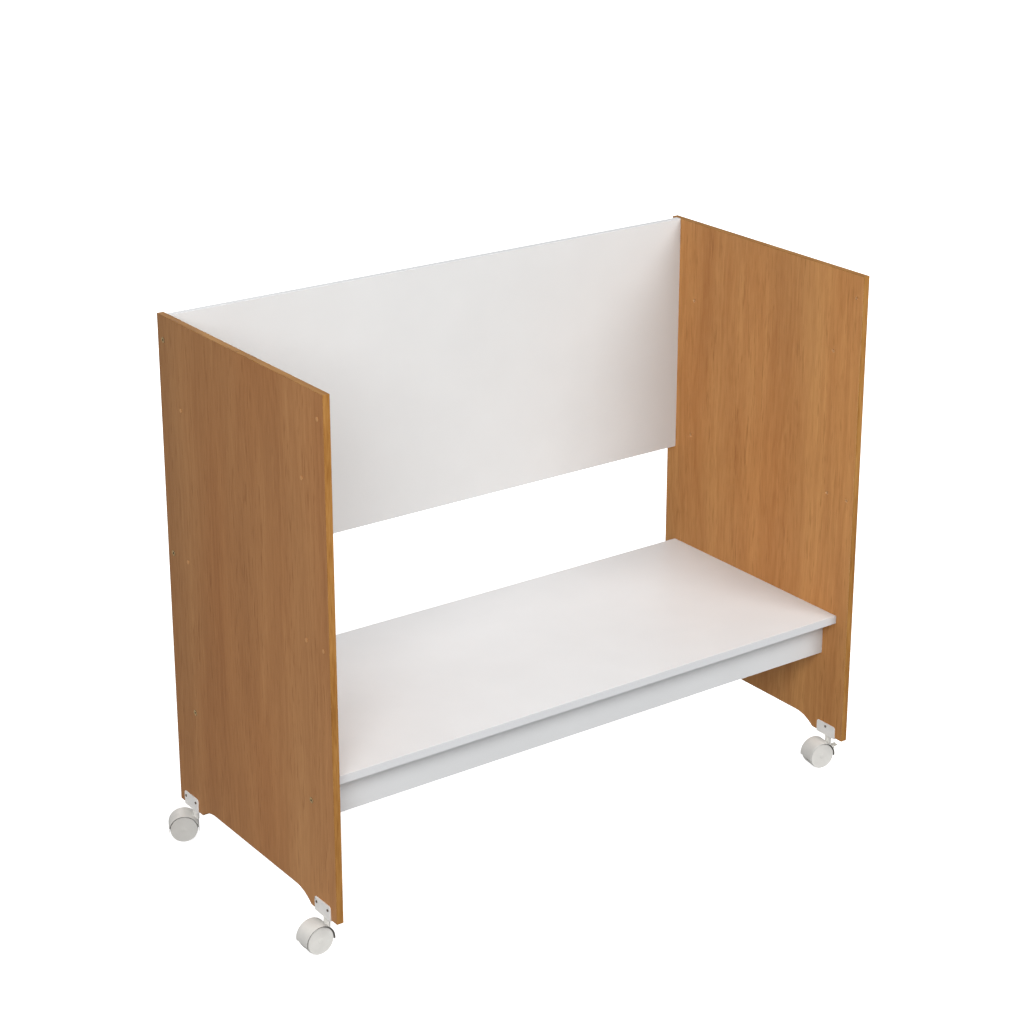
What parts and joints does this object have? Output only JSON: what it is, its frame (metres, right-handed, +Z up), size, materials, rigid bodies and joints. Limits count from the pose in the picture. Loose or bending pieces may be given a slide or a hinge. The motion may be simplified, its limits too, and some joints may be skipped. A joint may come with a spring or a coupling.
{
  "type": "study carrel",
  "caption": "Mobile study carrel: low white desktop and privacy panel between tall wood-grain side panels with arched feet, on hooded twin-wheel casters.",
  "frame": {"origin": "on the floor under the middle of the carcass", "axes": "+Z up; the user sits on the -Y side and faces +Y; +X to the user's right"},
  "size_m": [1.4744, 0.643, 1.175],
  "materials": {
    "wood_laminate": "satin wood-grain laminate, vertical figure",
    "wood_edge_band": "satin wood-grain edge band",
    "white_board": "smooth warm-white melamine",
    "white_edge_band": "warm-white edge band",
    "yellow_zinc": "yellow-passivated steel",
    "zinc_steel": "zinc-plated steel",
    "dark_zinc": "dark-passivated steel",
    "cap_plastic": "wood-tone plastic",
    "beech_dowel": "bare beech",
    "bracket_plastic": "light grey plastic",
    "caster_plastic": "light grey plastic",
    "wheel_plastic": "off-white plastic",
    "brake_plastic": "grey plastic"
  },
  "bodies": {
    "carcass": {"left_side_panel": "wood_laminate", "left_side_edge_band": "wood_edge_band", "right_side_panel": "wood_laminate", "right_side_edge_band": "wood_edge_band", "back_panel": "white_board", "desktop": "white_board", "front_apron": "white_board", "rear_apron": "white_board", "back_panel_edge_bands": "white_edge_band", "desktop_edge_bands": "white_edge_band", "apron_edge_bands": "white_edge_band", "left_connector_bolts": "yellow_zinc", "left_hole_caps": "cap_plastic", "right_connector_bolts": "yellow_zinc", "right_hole_caps": "cap_plastic", "barrel_nuts": "zinc_steel", "apron_dowels": "beech_dowel", "back_panel_dowels": "beech_dowel", "desktop_angle_brackets": "zinc_steel", "desktop_bracket_screws": "zinc_steel", "saddle_screws": "dark_zinc", "front_left_saddle_bracket": "bracket_plastic", "front_left_stem": "zinc_steel", "front_right_saddle_bracket": "bracket_plastic", "front_right_stem": "zinc_steel", "rear_left_saddle_bracket": "bracket_plastic", "rear_left_stem": "zinc_steel", "rear_right_saddle_bracket": "bracket_plastic", "rear_right_stem": "zinc_steel"},
    "front_left_swivel": {"front_left_hood": "caster_plastic", "front_left_axle": "zinc_steel"},
    "front_left_wheel_a_body": {"front_left_wheel_a": "wheel_plastic"},
    "front_left_wheel_b_body": {"front_left_wheel_b": "wheel_plastic"},
    "front_right_swivel": {"front_right_hood": "caster_plastic", "front_right_axle": "zinc_steel", "front_right_brake_pin": "zinc_steel"},
    "front_right_wheel_a_body": {"front_right_wheel_a": "wheel_plastic"},
    "front_right_wheel_b_body": {"front_right_wheel_b": "wheel_plastic"},
    "front_right_brake": {"front_right_brake_lever": "brake_plastic"},
    "rear_left_swivel": {"rear_left_hood": "caster_plastic", "rear_left_axle": "zinc_steel"},
    "rear_left_wheel_a_body": {"rear_left_wheel_a": "wheel_plastic"},
    "rear_left_wheel_b_body": {"rear_left_wheel_b": "wheel_plastic"},
    "rear_right_swivel": {"rear_right_hood": "caster_plastic", "rear_right_axle": "zinc_steel", "rear_right_brake_pin": "zinc_steel"},
    "rear_right_wheel_a_body": {"rear_right_wheel_a": "wheel_plastic"},
    "rear_right_wheel_b_body": {"rear_right_wheel_b": "wheel_plastic"},
    "rear_right_brake": {"rear_right_brake_lever": "brake_plastic"}
  },
  "joints": [
    {"name": "front_left_swivel_turn", "type": "hinge", "parent": "carcass", "child": "front_left_swivel", "pos_m": [-0.674, -0.2705, 0.075], "axis": [0, 0, 1], "continuous": true},
    {"name": "front_left_wheel_a_spin", "type": "hinge", "parent": "front_left_swivel", "child": "front_left_wheel_a_body", "pos_m": [-0.701, -0.2705, 0.03], "axis": [0, 1, 0], "continuous": true},
    {"name": "front_left_wheel_b_spin", "type": "hinge", "parent": "front_left_swivel", "child": "front_left_wheel_b_body", "pos_m": [-0.701, -0.2705, 0.03], "axis": [0, 1, 0], "continuous": true},
    {"name": "front_right_swivel_turn", "type": "hinge", "parent": "carcass", "child": "front_right_swivel", "pos_m": [0.674, -0.2705, 0.075], "axis": [0, 0, 1], "continuous": true},
    {"name": "front_right_wheel_a_spin", "type": "hinge", "parent": "front_right_swivel", "child": "front_right_wheel_a_body", "pos_m": [0.64741, -0.26581, 0.03], "axis": [0.1736, 0.9848, 0], "continuous": true},
    {"name": "front_right_wheel_b_spin", "type": "hinge", "parent": "front_right_swivel", "child": "front_right_wheel_b_body", "pos_m": [0.64741, -0.26581, 0.03], "axis": [0.1736, 0.9848, 0], "continuous": true},
    {"name": "front_right_brake_press", "type": "hinge", "parent": "front_right_swivel", "child": "front_right_brake", "pos_m": [0.68385, -0.27224, 0.039], "axis": [0.1736, 0.9848, 0], "range_deg": [0, 8]},
    {"name": "rear_left_swivel_turn", "type": "hinge", "parent": "carcass", "child": "rear_left_swivel", "pos_m": [-0.674, 0.2705, 0.075], "axis": [0, 0, 1], "continuous": true},
    {"name": "rear_left_wheel_a_spin", "type": "hinge", "parent": "rear_left_swivel", "child": "rear_left_wheel_a_body", "pos_m": [-0.69806, 0.28276, 0.03], "axis": [0.454, 0.891, 0], "continuous": true},
    {"name": "rear_left_wheel_b_spin", "type": "hinge", "parent": "rear_left_swivel", "child": "rear_left_wheel_b_body", "pos_m": [-0.69806, 0.28276, 0.03], "axis": [0.454, 0.891, 0], "continuous": true},
    {"name": "rear_right_swivel_turn", "type": "hinge", "parent": "carcass", "child": "rear_right_swivel", "pos_m": [0.674, 0.2705, 0.075], "axis": [0, 0, 1], "continuous": true},
    {"name": "rear_right_wheel_a_spin", "type": "hinge", "parent": "rear_right_swivel", "child": "rear_right_wheel_a_body", "pos_m": [0.69806, 0.28276, 0.03], "axis": [0.454, -0.891, 0], "continuous": true},
    {"name": "rear_right_wheel_b_spin", "type": "hinge", "parent": "rear_right_swivel", "child": "rear_right_wheel_b_body", "pos_m": [0.69806, 0.28276, 0.03], "axis": [0.454, -0.891, 0], "continuous": true},
    {"name": "rear_right_brake_press", "type": "hinge", "parent": "rear_right_swivel", "child": "rear_right_brake", "pos_m": [0.66509, 0.26596, 0.039], "axis": [0.454, -0.891, 0], "range_deg": [0, 8]}
  ]
}
